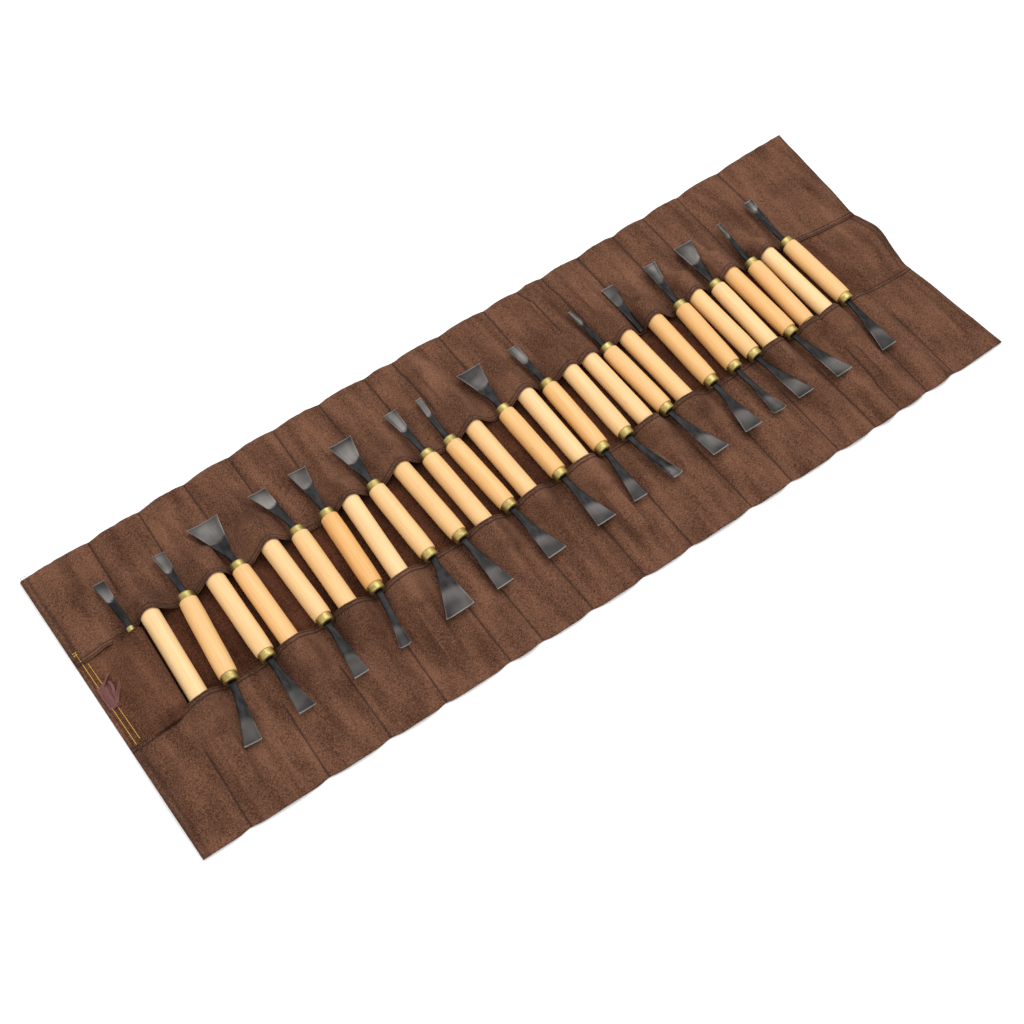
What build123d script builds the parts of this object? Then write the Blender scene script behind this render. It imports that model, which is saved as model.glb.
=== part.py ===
"""A canvas tool roll laid open, with its set of carving gouges. Millimetres, +Z up.

The origin is the middle of the roll on its underside. X runs along the roll, and Y across it from the near
pocket strip to the far one. Each gouge is made lying along Y at the origin and is then turned and moved to
its place, so "far" is always its +Y end and "near" its -Y end.
"""
import math
import os
from dataclasses import dataclass

from build123d import *

# The canvas
LEFT_END = -692.5
FAR_EDGE = [(LEFT_END, 221), (-300, 237), (250, 241), (692.5, 255.5)]
NEAR_EDGE = [(LEFT_END, -239), (0, -251), (430, -255.5), (692.5, -251)]
RIGHT_END = [(-251, 692.5), (-65, 675), (150, 683), (255.5, 692.5)]
BASE_THICKNESS = 1.5
STRIP_THICKNESS = 1.4
HEM = 72
OUTER_SEAM = 4
ARCH_FOOT = 1.6
FIT = 0.4

# An eight-sided arch: its flat top as a share of its half width, and its side corners as shares of its height
ARCH_TOP = 0.414
ARCH_LOW_CORNER = 0.336
ARCH_HIGH_CORNER = 0.725

# The arch past whatever fills a pocket: its half width, its height there, and how far the canvas slopes to it
EMPTY_HALF = 9
PAST_BUTT = 6
BUTT_SLOPE = 16
OVER_NECK = 21.5
OVER_TIP = 20.5
NECK_SLOPE = 8
AT_EDGE = (6, 0.5)

# The gouges
MID_Y = 4
AXIS_Z = 17.1
WOOD_R = 13.6
SPIGOT_R = 9
FERRULE_R = 11
FERRULE_LENGTH = 11
FERRULE_WALL = 1.2
TANG_R = 3.3
TANG_LENGTH = 48
BORE_R = 3.5
NECK_WIDTH = 9
NECK_THICKNESS = 4.2
EDGE_THICKNESS = 1.6

# Where the wood stops, measured from the middle of the handle
OPEN_SHOULDER = 60.5
PEEPING_SHOULDER = 66
COVERED_SHOULDER = 82.5
DEEP_BUTT = 102
SHALLOW_BUTT = 84
HOOP_LENGTH = 14

LONG_PULL = 40
SHORT_PULL = 20


@dataclass
class Blade:
    """A blade's form, width at the edge, length outside the ferrule and sideways drift of its tip."""

    form: str
    width: float
    length: float = 88
    drift: float = 0
    shoulder: float = OPEN_SHOULDER


@dataclass
class Butt:
    """A plain end that sits in a pocket, or one with a brass hoop."""

    end: float = DEEP_BUTT
    hoop: bool = False


@dataclass
class Gouge:
    """One tool: its place along the roll, its lean in degrees, and what each end carries."""

    x: float
    lean: float
    far: object
    near: object


COVERED = Blade("gouge", 12, 80, 0, COVERED_SHOULDER)
PEEPING = Blade("gouge", 12, 80, 0, PEEPING_SHOULDER)
SHALLOW = Butt(SHALLOW_BUTT)
HOOPED = Butt(PEEPING_SHOULDER + HOOP_LENGTH, True)

GOUGES = [
    Gouge(-584.5, 3.4, SHALLOW, COVERED),
    Gouge(-536.5, 6.2, Blade("gouge", 18, 72, -6), Blade("chisel", 25, 88, -13)),
    Gouge(-486.5, 1.5, Butt(), Blade("chisel", 25, 86, 4)),
    Gouge(-451, 1.1, Blade("fishtail", 47, 79, -7), Butt()),
    Gouge(-399.5, 0.3, Butt(), Blade("chisel", 22, 86, -4)),
    Gouge(-360, 2.3, Blade("chisel", 27, 78, -16), Butt()),
    Gouge(-314.5, 4, Blade("chisel", 28, 77, -2), Blade("spoon", 18, 86, -9)),
    Gouge(-277, 3.8, SHALLOW, COVERED),
    Gouge(-232.5, -0.1, Blade("fishtail", 37, 82, 1), Blade("fishtail", 45, 86, -16)),
    Gouge(-183.5, -1.6, Butt(), Blade("chisel", 27, 88, 4)),
    Gouge(-142.5, -0.8, Blade("gouge", 20, 84, -3), Butt()),
    Gouge(-101, -2.2, Blade("chisel", 10, 79, 7), Blade("chisel", 31, 90, 6)),
    Gouge(-62.5, -0.3, COVERED, SHALLOW),
    Gouge(-10, -0.3, Blade("fishtail", 41, 80, -1), Blade("chisel", 32, 89, 7)),
    Gouge(31, 0.7, Butt(), PEEPING),
    Gouge(67, 1, Blade("gouge", 17, 77, -5), Blade("chisel", 23, 88, -5)),
    Gouge(109.8, 0.6, Butt(), Blade("v_tool", 20, 90, 16)),
    Gouge(147.2, -0.6, COVERED, HOOPED),
    Gouge(182, -1.9, Blade("veiner", 7, 81, -2), Blade("chisel", 30, 93, 16)),
    Gouge(218.5, -1, COVERED, SHALLOW),
    Gouge(270.5, 1, Butt(), Blade("chisel", 32, 90)),
    Gouge(317.5, 2.5, Blade("gouge", 23, 84, 6), Blade("spoon", 25, 89, 10)),
    Gouge(353, -0.7, Butt(), Blade("chisel", 30, 90, 16)),
    Gouge(389, 1.2, Blade("fishtail", 35, 84, 7), Butt()),
    Gouge(425.5, -0.9, Butt(), Blade("chisel", 31, 94, 16)),
    Gouge(462.5, 1.9, Blade("veiner", 7, 85, 5), HOOPED),
    Gouge(498, -0.8, SHALLOW, COVERED),
    Gouge(538, -0.8, Blade("v_tool", 18, 93, 4), Blade("chisel", 29, 97, -8)),
]
END_GOUGE = Gouge(-614, 3, Blade("chisel", 17, 78, -6), Butt(OPEN_SHOULDER))
END_WOOD_R = 11
END_FERRULE_R = 5.6
SPARE_BLADE = Gouge(245, 2.4, Blade("chisel", 23, 89, 4), None)
SPARE_LIFT = 4
SPARE_Z = BASE_THICKNESS + STRIP_THICKNESS + SPARE_LIFT + NECK_THICKNESS / 2

# Blade forms: where the flare starts as a share of the length, the depth of the sweep as a share of the
# width, and how far the tip dips
FORMS = {
    "chisel": (0.35, 0.05, 0),
    "fishtail": (0.5, 0.08, 0),
    "gouge": (0.35, 0.2, 0),
    "veiner": (0.2, 0.5, 0),
    "v_tool": (0.4, 0.42, 0),
    "spoon": (0.45, 0.14, 3),
}
SWEEP_POINTS = 7

# The canvas over the end gouge's handle: its left seam, its width past the handle and its closed near end
COVER_LEFT = LEFT_END + 8
COVER_RIGHT = END_WOOD_R + 5
COVER_SLOPE = 9
COVER_END = (8, 3)

# The small tie sewn to the left edge: a pad, and two tails as (turn, reach)
TIE_X = -676
TIE_Y = 12
TIE_LENGTH = 36
TIE_WIDTH = 12
TIE_THICKNESS = 3.4
TAIL_WIDTH = 6
TAILS = [(-28, 26), (-62, 26)]


def place(gouge, z=AXIS_Z):
    """Where a gouge made along Y goes on the roll."""
    return Location((gouge.x, MID_Y, z)) * Rot(0, 0, -gouge.lean)


def axis_x(gouge, y):
    """The gouge's axis at a distance y across the roll."""
    return gouge.x + (y - MID_Y) * math.tan(math.radians(gouge.lean))


def rod(radius, start, length):
    """A round rod along Y."""
    along_y = Cylinder(radius, length, rotation=(-90, 0, 0), align=(Align.CENTER, Align.CENTER, Align.MIN))
    return Pos(0, start, 0) * along_y


def half_profile(end, wood_r, bore_start):
    """One end of a handle's outline as (radius, distance) points, from the surface to the axis."""
    if isinstance(end, Butt) and not end.hoop:
        return [(wood_r, end.end - 3), (wood_r - 1, end.end - 1), (wood_r - 3, end.end), (0, end.end)]
    if isinstance(end, Butt):
        shoulder = end.end - HOOP_LENGTH
        return [(wood_r, shoulder), (SPIGOT_R, shoulder), (SPIGOT_R, end.end - FERRULE_WALL),
                (0, end.end - FERRULE_WALL)]
    tip = end.shoulder + FERRULE_LENGTH
    return [(wood_r, end.shoulder - 1.5), (wood_r - 1, end.shoulder), (SPIGOT_R, end.shoulder),
            (SPIGOT_R, tip - FERRULE_WALL), (BORE_R, tip - FERRULE_WALL), (BORE_R, tip - bore_start),
            (0, tip - bore_start)]


def turned(points):
    """The solid that an outline of (radius, distance) points makes when turned about Y."""
    return revolve(make_face(Polyline(*points, close=True)), axis=Axis.Y)


def handle(gouge):
    """A turned wooden handle with a spigot for each ferrule and a bore for each tang."""
    bore = TANG_LENGTH + 2
    far = half_profile(gouge.far, WOOD_R, bore)
    near = [(r, -y) for r, y in half_profile(gouge.near, WOOD_R, bore)]
    return turned(far + near[::-1])


def cap(shoulder, length, hole_r):
    """A brass ferrule or hoop: a sleeve over the spigot with a rounded, closed end."""
    tip = shoulder + length
    inner = tip - FERRULE_WALL
    outline = [(SPIGOT_R, shoulder), (FERRULE_R, shoulder), (FERRULE_R, tip - 2),
               (FERRULE_R - 0.7, tip - 0.6), (FERRULE_R - 2, tip), (hole_r, tip), (hole_r, inner),
               (SPIGOT_R, inner)]
    return turned(outline)


def blade_section(blade, share, tip):
    """The blade's outline across its axis at a share of its length."""
    flare, sweep, dip = FORMS[blade.form]
    opened = max(0, share - flare) / (1 - flare)
    width = NECK_WIDTH + (blade.width - NECK_WIDTH) * opened
    thickness = NECK_THICKNESS + (EDGE_THICKNESS - NECK_THICKNESS) * share
    depth = sweep * width * opened
    middle = blade.drift * share ** 1.3
    lower = []
    for i in range(SWEEP_POINTS):
        across = 2 * i / (SWEEP_POINTS - 1) - 1
        bend = abs(across) if blade.form == "v_tool" else across ** 2
        lower.append((middle + across * width / 2, depth * (bend - 0.5) - dip * opened))
    y = tip + share * blade.length
    points = [Vector(x, y, low - thickness / 2) for x, low in lower]
    points += [Vector(x, y, low + thickness / 2) for x, low in reversed(lower)]
    return Wire.make_polygon(points, close=True)


def steel(blade, tip, tang=True):
    """A forged blade, flaring from its neck to the ground edge, on a round tang if it has one."""
    shares = [0, FORMS[blade.form][0], 0.65, 0.85, 1]
    body = Solid.make_loft([blade_section(blade, share, tip) for share in shares], ruled=True)
    if tang:
        return body + rod(TANG_R, tip - TANG_LENGTH, TANG_LENGTH)
    return body


def metal(end):
    """The brass and steel pieces of one end, made at the far end."""
    if isinstance(end, Butt):
        return [cap(end.end - HOOP_LENGTH, HOOP_LENGTH, 2)] if end.hoop else []
    return [cap(end.shoulder, FERRULE_LENGTH, BORE_R), steel(end, end.shoulder + FERRULE_LENGTH)]


def fittings(gouge):
    """Both ends' ferrules and blades. A near end is a far end turned about, so its drift changes sign."""
    near = gouge.near
    if isinstance(near, Blade):
        near = Blade(near.form, near.width, near.length, -near.drift, near.shoulder)
    return metal(gouge.far) + [Rot(0, 0, 180) * piece for piece in metal(near)]


def end_gouge():
    """The slim gouge at the left end, whose handle lies under the canvas."""
    blade = END_GOUGE.far
    cone_start = blade.shoulder - 12
    tip = blade.shoulder + FERRULE_LENGTH
    butt = END_GOUGE.near.end
    wood = turned([(0, -butt), (END_WOOD_R - 2, -butt), (END_WOOD_R, 2 - butt), (END_WOOD_R, cone_start),
                   (END_FERRULE_R, blade.shoulder), (BORE_R, blade.shoulder),
                   (BORE_R, tip - TANG_LENGTH - 2), (0, tip - TANG_LENGTH - 2)])
    collar = turned([(BORE_R, blade.shoulder), (END_FERRULE_R, blade.shoulder), (END_FERRULE_R, tip - 1),
                     (END_FERRULE_R - 1, tip), (BORE_R, tip)])
    return [wood, collar, steel(blade, tip)]


def between(points, at):
    """The value of a line of (place, value) points at a place, in proportion between its neighbours."""
    for (start, low), (end, high) in zip(points, points[1:]):
        if at <= end:
            return low + (high - low) * (at - start) / (end - start)
    return points[-1][1]


def arch(half, height):
    """The underside and the top of a canvas arch, as (x, z) points from its left foot to its right one."""
    round_share = min(1, height / (AXIS_Z + WOOD_R + FIT - BASE_THICKNESS))
    side = STRIP_THICKNESS * round_share
    rise = STRIP_THICKNESS * (1 - round_share)
    corner = ARCH_TOP * side
    under = [(-half - ARCH_FOOT, 0), (-half, ARCH_LOW_CORNER * height), (-half, ARCH_HIGH_CORNER * height),
             (-ARCH_TOP * half, height)]
    over = [(-half - ARCH_FOOT - side, STRIP_THICKNESS), (-half - side, ARCH_LOW_CORNER * height + rise),
            (-half - side, ARCH_HIGH_CORNER * height + corner + rise),
            (-ARCH_TOP * half - corner, height + STRIP_THICKNESS)]
    mirrored = [[(-x, z) for x, z in reversed(half_arch)] for half_arch in (under, over)]
    return under + mirrored[0], over + mirrored[1]


def covers(end, pull):
    """The arch over one end in a pocket: (distance from the handle's middle, half width, height) steps."""
    full = (WOOD_R + FIT, AXIS_Z + WOOD_R + FIT - BASE_THICKNESS)
    if isinstance(end, Butt):
        return [(HEM, *full), (end.end + 2, *full), (end.end + BUTT_SLOPE, EMPTY_HALF, PAST_BUTT)]
    ferrule_end = end.shoulder + FERRULE_LENGTH + pull + 3
    return [(HEM, *full), (ferrule_end, *full), (ferrule_end + NECK_SLOPE, EMPTY_HALF, OVER_NECK),
            (ferrule_end + end.length, EMPTY_HALF, OVER_TIP)]


def span_at(left, right, side, distance):
    """A panel's two (x, y) ends at a distance from the handles' middle line, or at the roll's outer edge."""
    if distance is not None:
        y = MID_Y + side * distance
        return [(left(y), y), (right(y), y)]
    edge = FAR_EDGE if side > 0 else NEAR_EDGE
    ends = []
    for seam in (left, right):
        y = between(edge, seam(edge[0][1])) - side * OUTER_SEAM
        ends.append((seam(y), y))
    return ends


def panel_section(gouge, span, half, height):
    """One outline across a canvas panel that arches over a gouge."""
    middle = axis_x(gouge, (span[0][1] + span[1][1]) / 2)
    under, over = arch(half, height)
    lower = [(span[0][0], 0)] + [(middle + x, z) for x, z in under] + [(span[1][0], 0)]
    upper = [(span[0][0], STRIP_THICKNESS)] + [(middle + x, z) for x, z in over]
    upper.append((span[1][0], STRIP_THICKNESS))
    points = [Vector(x, between(span, x), BASE_THICKNESS + z) for x, z in lower + upper[::-1]]
    return Wire.make_polygon(points, close=True)


def pull_of(gouge):
    """How far a gouge slides to leave its pocket."""
    if Butt() in (gouge.far, gouge.near):
        return LONG_PULL
    return SHORT_PULL


def pocket_strip(side):
    """One pocket strip: a panel for each gouge end it holds, sewn down along the seams between them."""
    held = []
    for gouge in GOUGES:
        end = gouge.far if side > 0 else gouge.near
        if isinstance(end, Butt) or end.shoulder != OPEN_SHOULDER:
            held.append((gouge, end))
    seams = [lambda y: LEFT_END + OUTER_SEAM]
    for (first, _), (second, _) in zip(held, held[1:]):
        seams.append(lambda y, a=first, b=second: (axis_x(a, y) + axis_x(b, y)) / 2)
    seams.append(lambda y: between(RIGHT_END, y) - OUTER_SEAM)
    panels = []
    for i, (gouge, end) in enumerate(held):
        sections = []
        for distance, half, height in covers(end, pull_of(gouge)) + [(None, *AT_EDGE)]:
            span = span_at(seams[i], seams[i + 1], side, distance)
            sections.append(panel_section(gouge, span, half, height))
        panels.append(Solid.make_loft(sections, ruled=True))
    return panels


def end_cover():
    """The canvas that covers the end gouge's handle, open at its far end."""
    full = (END_WOOD_R + FIT, AXIS_Z + END_WOOD_R + FIT - BASE_THICKNESS)
    closed = -END_GOUGE.near.end - 1
    sections = []
    for distance, half, height in [(closed - COVER_SLOPE, *COVER_END), (closed, *full), (HEM - 4, *full)]:
        y = MID_Y + distance
        span = [(COVER_LEFT, y), (axis_x(END_GOUGE, y) + COVER_RIGHT, y)]
        sections.append(panel_section(END_GOUGE, span, half, height))
    return Solid.make_loft(sections, ruled=True)


def tie():
    """The crumpled ribbon: a folded pad with two short tails."""
    place_on = Pos(TIE_X, TIE_Y, BASE_THICKNESS + STRIP_THICKNESS)
    on_top = (Align.CENTER, Align.CENTER, Align.MIN)
    ribbon = place_on * Box(TIE_WIDTH, TIE_LENGTH, TIE_THICKNESS, align=on_top)
    for turn, reach in TAILS:
        tail = Box(TAIL_WIDTH, reach, TIE_THICKNESS / 2, align=(Align.CENTER, Align.MIN, Align.MIN))
        ribbon += place_on * Rot(0, 0, turn) * tail
    return ribbon


def base_cloth():
    """The whole base sheet."""
    right = [(x, y) for y, x in RIGHT_END[1:-1]]
    outline = NEAR_EDGE + right + FAR_EDGE[::-1]
    return extrude(make_face(Polyline(*outline, close=True)), BASE_THICKNESS)


def save(name, pieces):
    """Write one named sub-part."""
    shape = pieces[0] if len(pieces) == 1 else Compound(children=list(pieces))
    export_step(shape, f"parts/{name}.step")


os.makedirs("parts", exist_ok=True)
save("base_cloth", [base_cloth(), end_cover(), tie()])
save("pocket_strips", pocket_strip(1) + pocket_strip(-1))
for number, gouge in enumerate(GOUGES, 1):
    save(f"gouge_{number:02d}_handle", [place(gouge) * handle(gouge)])
    save(f"gouge_{number:02d}_blade", [place(gouge) * piece for piece in fittings(gouge)])
save("end_gouge", [place(END_GOUGE) * piece for piece in end_gouge()])
spare = steel(SPARE_BLADE.far, OPEN_SHOULDER + FERRULE_LENGTH, tang=False)
save("spare_blade", [place(SPARE_BLADE, SPARE_Z) * spare])
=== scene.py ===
"""The look of an open canvas tool roll with its carving gouges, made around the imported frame.

Sizes here are millimetres, and a mesh is scaled to metres when it is made. X runs along the roll, Y across
it and Z up. A gouge's own axes are the same with Y along its handle, so its "far" end is +Y, its "near" -Y.
"""
import math

import bmesh
import bpy
import numpy as np
from mathutils import Matrix, Vector


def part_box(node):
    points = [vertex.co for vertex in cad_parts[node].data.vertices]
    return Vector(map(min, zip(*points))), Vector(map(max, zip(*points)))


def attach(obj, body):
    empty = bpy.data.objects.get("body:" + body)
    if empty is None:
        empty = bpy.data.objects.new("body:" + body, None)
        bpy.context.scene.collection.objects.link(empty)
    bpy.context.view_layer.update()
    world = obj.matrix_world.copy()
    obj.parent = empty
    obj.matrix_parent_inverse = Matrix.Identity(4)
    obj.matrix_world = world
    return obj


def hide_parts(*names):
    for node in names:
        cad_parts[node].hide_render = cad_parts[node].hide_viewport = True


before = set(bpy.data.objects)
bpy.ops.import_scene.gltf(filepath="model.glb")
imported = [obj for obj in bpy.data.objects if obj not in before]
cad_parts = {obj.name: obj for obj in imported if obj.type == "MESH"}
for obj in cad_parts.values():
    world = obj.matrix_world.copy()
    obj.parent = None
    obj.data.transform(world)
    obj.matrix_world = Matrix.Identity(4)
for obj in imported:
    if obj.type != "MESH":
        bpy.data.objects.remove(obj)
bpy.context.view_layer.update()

MM = 0.001
SEED = 7
TURN = 6.283

# What each gouge carries at its far and its near end, and the tone of its wood from pale (0) to honey (1)
GOUGES = [
    ("butt", "covered", 0.1),
    ("gouge", "chisel", 0.6),
    ("butt", "chisel", 0.3),
    ("fishtail", "butt", 0.65),
    ("butt", "chisel", 0.3),
    ("chisel", "butt", 0.5),
    ("chisel", "spoon", 1.0),
    ("butt", "covered", 0.05),
    ("fishtail", "fishtail", 0.4),
    ("butt", "chisel", 0.55),
    ("gouge", "butt", 0.45),
    ("chisel", "chisel", 0.7),
    ("covered", "butt", 0.45),
    ("fishtail", "chisel", 0.8),
    ("butt", "covered", 0.2),
    ("gouge", "chisel", 0.75),
    ("butt", "v_tool", 0.3),
    ("covered", "hoop", 0.25),
    ("veiner", "chisel", 0.65),
    ("covered", "butt", 0.5),
    ("butt", "chisel", 0.8),
    ("gouge", "spoon", 0.85),
    ("butt", "chisel", 0.5),
    ("fishtail", "butt", 0.25),
    ("butt", "chisel", 0.85),
    ("veiner", "hoop", 0.75),
    ("butt", "covered", 0.1),
    ("v_tool", "chisel", 0.6),
]

# The ends that lie in a pocket
HELD = ("butt", "hoop", "covered")

# Where a blade starts to open as a share of its length, how its sides curve, and where it is ground
FLARES = {
    "chisel": (0.12, 1.35, 0.56),
    "fishtail": (0.12, 1.15, 0.5),
    "gouge": (0.14, 1.3, 0.52),
    "veiner": (0.1, 1.2, 0.6),
    "v_tool": (0.2, 1.1, 0.72),
    "spoon": (0.38, 1.7, 0.6),
    "covered": (0.3, 1.3, 0.55),
}

MID_Y = 4
AXIS_Z = 17.1
WOOD_R = 13.6
FERRULE_R = 11
FERRULE_LENGTH = 11
HOOP_LENGTH = 14
FERRULE_SIDES = 40
WOOD_SIDES = 48
NECK_WIDTH = 9.6
NECK_THICKNESS = 4.2
EDGE_THICKNESS = 1.6

# A butt that reaches past this lies deep in its pocket, and its gouge slides further to come out
DEEP_BUTT = 95
DEEP_PULL = 40
SHALLOW_PULL = 20

# The canvas
BASE_TOP = 1.5
STRIP_THICKNESS = 1.4
STRIP_TOP = BASE_TOP + STRIP_THICKNESS
ARCH_R = WOOD_R + 0.5 + STRIP_THICKNESS
TENT_FOOT = 42
KNEE = math.radians(38)
UNDER_BLADE = 10
HEM_WIDTH = 8
SEAM_START = 62
POCKET_MIDDLE = 150
HEM_AT = 72
HEM_LINES = (2.2, 7.2)
END_LINES = (3.2, 9.2)
LEFT_END = -692.5
RIGHT_END = 692.5

# For the far side (1) and the near side (-1): the long edge as (X, Y), where each seam crosses the strip,
# and how far the edge pulls in at a seam and rises between two
EDGES = {
    1: [(LEFT_END, 221), (-300, 237), (250, 241), (RIGHT_END, 255.5)],
    -1: [(LEFT_END, -239), (0, -251), (430, -255.5), (RIGHT_END, -251)],
}
SEAMS = {
    1: [-594, -517, -442, -370, -297, -216, -138, -88, -6, 76, 140, 188, 256, 327, 390, 461, 551],
    -1: [-620, -507, -418, -330, -232, -180, -98, -7, 78, 184, 262, 352, 424, 478, 532, 589],
}
EDGE_PULL = {1: 1.9, -1: 3.0}
EDGE_RISE = {1: 1.7, -1: 3.2}

# The right end, which draws in towards the middle, as (Y, X)
RIGHT_OUTLINE = [(-251, RIGHT_END), (-160, 683), (-65, 675), (60, 677), (150, 683), (255.5, RIGHT_END)]

# Colours, as linear red, green and blue
CANVAS_DARK = (0.044, 0.0175, 0.0092)
CANVAS_LIGHT = (0.200, 0.091, 0.053)
# Painted shade: a tint multiplied into the canvas where the handles shade the base between them
CANVAS_SHADE_TINT = (0.66, 0.53, 0.45)
THREAD_BROWN = (0.035, 0.015, 0.010)
THREAD_GOLD = (0.55, 0.33, 0.04)
TIE_COLOUR = (0.125, 0.040, 0.034)


# ---- materials

def new_material(name):
    """A node material with its Principled shader."""
    material = bpy.data.materials.new(name)
    material.use_nodes = True
    return material, material.node_tree, material.node_tree.nodes["Principled BSDF"]


def put(tree, socket, value):
    """Join a socket to another output, or set it to a number, vector or colour."""
    if isinstance(value, bpy.types.NodeSocket):
        tree.links.new(value, socket)
    else:
        socket.default_value = (*value, 1) if socket.type == "RGBA" else value


def node(tree, kind, inputs=None, **settings):
    """Add a node with its settings and inputs."""
    made = tree.nodes.new("ShaderNode" + kind)
    for key, value in settings.items():
        setattr(made, key, value)
    for key, value in (inputs or {}).items():
        put(tree, made.inputs[key], value)
    return made


def noise(tree, vector, scale, detail=2.0, roughness=0.5):
    """A noise texture's value."""
    inputs = {"Vector": vector, "Scale": scale, "Detail": detail, "Roughness": roughness}
    return node(tree, "TexNoise", inputs).outputs["Fac"]


def stretched(tree, vector, scale):
    """A vector with each axis scaled."""
    return node(tree, "Mapping", {"Vector": vector, "Scale": scale}).outputs["Vector"]


def levels(tree, value, low, high, to_low=0.0, to_high=1.0):
    """A value moved from one range to another, and held inside it."""
    inputs = {"Value": value, "From Min": low, "From Max": high, "To Min": to_low, "To Max": to_high}
    return node(tree, "MapRange", inputs).outputs["Result"]


def mixed(tree, share, first, second, blend="MIX"):
    """Two colours mixed by a share."""
    inputs = {0: share, 6: first, 7: second}
    return node(tree, "Mix", inputs, data_type="RGBA", blend_type=blend).outputs[2]


def maths(tree, operation, first, second):
    """A sum, product or other operation on two values."""
    return node(tree, "Math", {0: first, 1: second}, operation=operation).outputs[0]


def attribute(tree, name, output="Fac"):
    """A value that the mesh carries at each vertex."""
    return node(tree, "Attribute", attribute_name=name).outputs[output]


def bump(tree, shader, height, strength, distance):
    """Roughen a shader's surface by a height."""
    inputs = {"Height": height, "Strength": strength, "Distance": distance}
    tree.links.new(node(tree, "Bump", inputs).outputs["Normal"], shader.inputs["Normal"])


def finish(tree, shader, colour, roughness):
    """Give a shader its colour and its roughness."""
    put(tree, shader.inputs["Base Color"], colour)
    put(tree, shader.inputs["Roughness"], roughness)


def canvas_material():
    """Heavy brown cotton canvas: mottled yarns in a plain weave, darker along seams, with painted fold
    shading and painted shade between the handles.
    """
    material, tree, shader = new_material("canvas")
    place = node(tree, "TexCoord").outputs["Object"]
    clouds = noise(tree, place, 16, 3)
    warp = noise(tree, stretched(tree, place, (1600, 320, 900)), 1, 1)
    weft = noise(tree, stretched(tree, place, (320, 1600, 900)), 1, 1)
    fleck = noise(tree, place, 900, 1)
    yarn = maths(tree, "MULTIPLY", maths(tree, "ADD", warp, weft), 0.5)
    mottle_and_fold_shade = levels(tree, clouds, 0.3, 0.7, 0.34, 0.58)
    # Painted shade: soft lighter and darker bands along the gouges, as folds in the cloth would be lit and
    # shaded
    painted_fold_shade = noise(tree, stretched(tree, place, (42, 9, 9)), 1, 2)
    mottle_and_fold_shade = maths(tree, "ADD", mottle_and_fold_shade, levels(tree, painted_fold_shade, 0.3, 0.7, -0.27, 0.27))
    tone = maths(tree, "ADD", levels(tree, yarn, 0.4, 0.6, -0.4, 0.4), mottle_and_fold_shade)
    tone = maths(tree, "ADD", tone, levels(tree, fleck, 0.34, 0.66, -0.18, 0.18))
    colour = mixed(tree, levels(tree, tone, 0, 1), CANVAS_DARK, CANVAS_LIGHT)
    # Painted shade: where the "inner" value is set, the canvas is darkened and reddened as if shaded by the
    # handles
    deeper = mixed(tree, 1.0, colour, CANVAS_SHADE_TINT, "MULTIPLY")
    colour = mixed(tree, attribute(tree, "inner"), colour, deeper)
    shade = levels(tree, attribute(tree, "seam"), 0, 1, 1.0, 0.25)
    colour = mixed(tree, 1.0, colour, shade, "MULTIPLY")
    finish(tree, shader, colour, levels(tree, yarn, 0.3, 0.7, 0.98, 0.86))
    shader.inputs["Specular IOR Level"].default_value = 0.12
    inputs = {"Vector": place, "Scale": 170, "Distortion": 1.2}
    waves = [node(tree, "TexWave", inputs, bands_direction=axis).outputs["Fac"] for axis in "XY"]
    bump(tree, shader, maths(tree, "ADD", maths(tree, "MULTIPLY", *waves), yarn), 0.5, 0.00035)
    return material


def wood_material():
    """Pale turned hardwood under a satin lacquer, with fine lengthwise grain."""
    material, tree, shader = new_material("wood")
    grain = attribute(tree, "grain", "Vector")
    tone = attribute(tree, "tone")
    fine = noise(tree, stretched(tree, grain, (0.55, 0.012, 0.55)), 1, 3, 0.6)
    broad = noise(tree, stretched(tree, grain, (0.13, 0.006, 0.13)), 1, 2)
    pores = noise(tree, stretched(tree, grain, (1.6, 0.06, 1.6)), 1, 1)
    base = mixed(tree, tone, (0.83, 0.575, 0.285), (0.75, 0.405, 0.135))
    deep = mixed(tree, tone, (0.66, 0.38, 0.165), (0.56, 0.24, 0.065))
    colour = mixed(tree, levels(tree, fine, 0.42, 0.78, 0, 0.5), base, deep)
    colour = mixed(tree, levels(tree, broad, 0.5, 0.8, 0, 0.35), colour, deep)
    colour = mixed(tree, levels(tree, pores, 0.62, 0.8, 0, 0.2), colour, (0.42, 0.21, 0.08))
    marks = noise(tree, stretched(tree, grain, (0.14, 0.05, 0.14)), 1, 2)
    colour = mixed(tree, levels(tree, marks, 0.74, 0.8, 0, 0.55), colour, (0.45, 0.19, 0.06))
    colour = mixed(tree, attribute(tree, "rim"), colour, (0.40, 0.20, 0.07))
    finish(tree, shader, colour, levels(tree, fine, 0.3, 0.8, 0.46, 0.6))
    shader.inputs["Coat Weight"].default_value = 0.1
    shader.inputs["Coat Roughness"].default_value = 0.35
    bump(tree, shader, maths(tree, "ADD", fine, pores), 0.25, 0.0002)
    return material


def brass_material():
    """Polished brass that has dulled a little, with turning marks."""
    material, tree, shader = new_material("brass")
    grain = attribute(tree, "grain", "Vector")
    rings = noise(tree, stretched(tree, grain, (0.02, 2.2, 0.02)), 1, 2)
    dull = noise(tree, stretched(tree, grain, (0.16, 0.16, 0.16)), 1, 3)
    colour = mixed(tree, levels(tree, dull, 0.35, 0.7), (0.50, 0.40, 0.15), (0.36, 0.28, 0.095))
    colour = mixed(tree, levels(tree, rings, 0.5, 0.7, 0, 0.25), colour, (0.26, 0.19, 0.06))
    finish(tree, shader, colour, levels(tree, dull, 0.3, 0.75, 0.42, 0.56))
    shader.inputs["Metallic"].default_value = 1
    bump(tree, shader, rings, 0.3, 0.0001)
    return material


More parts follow.
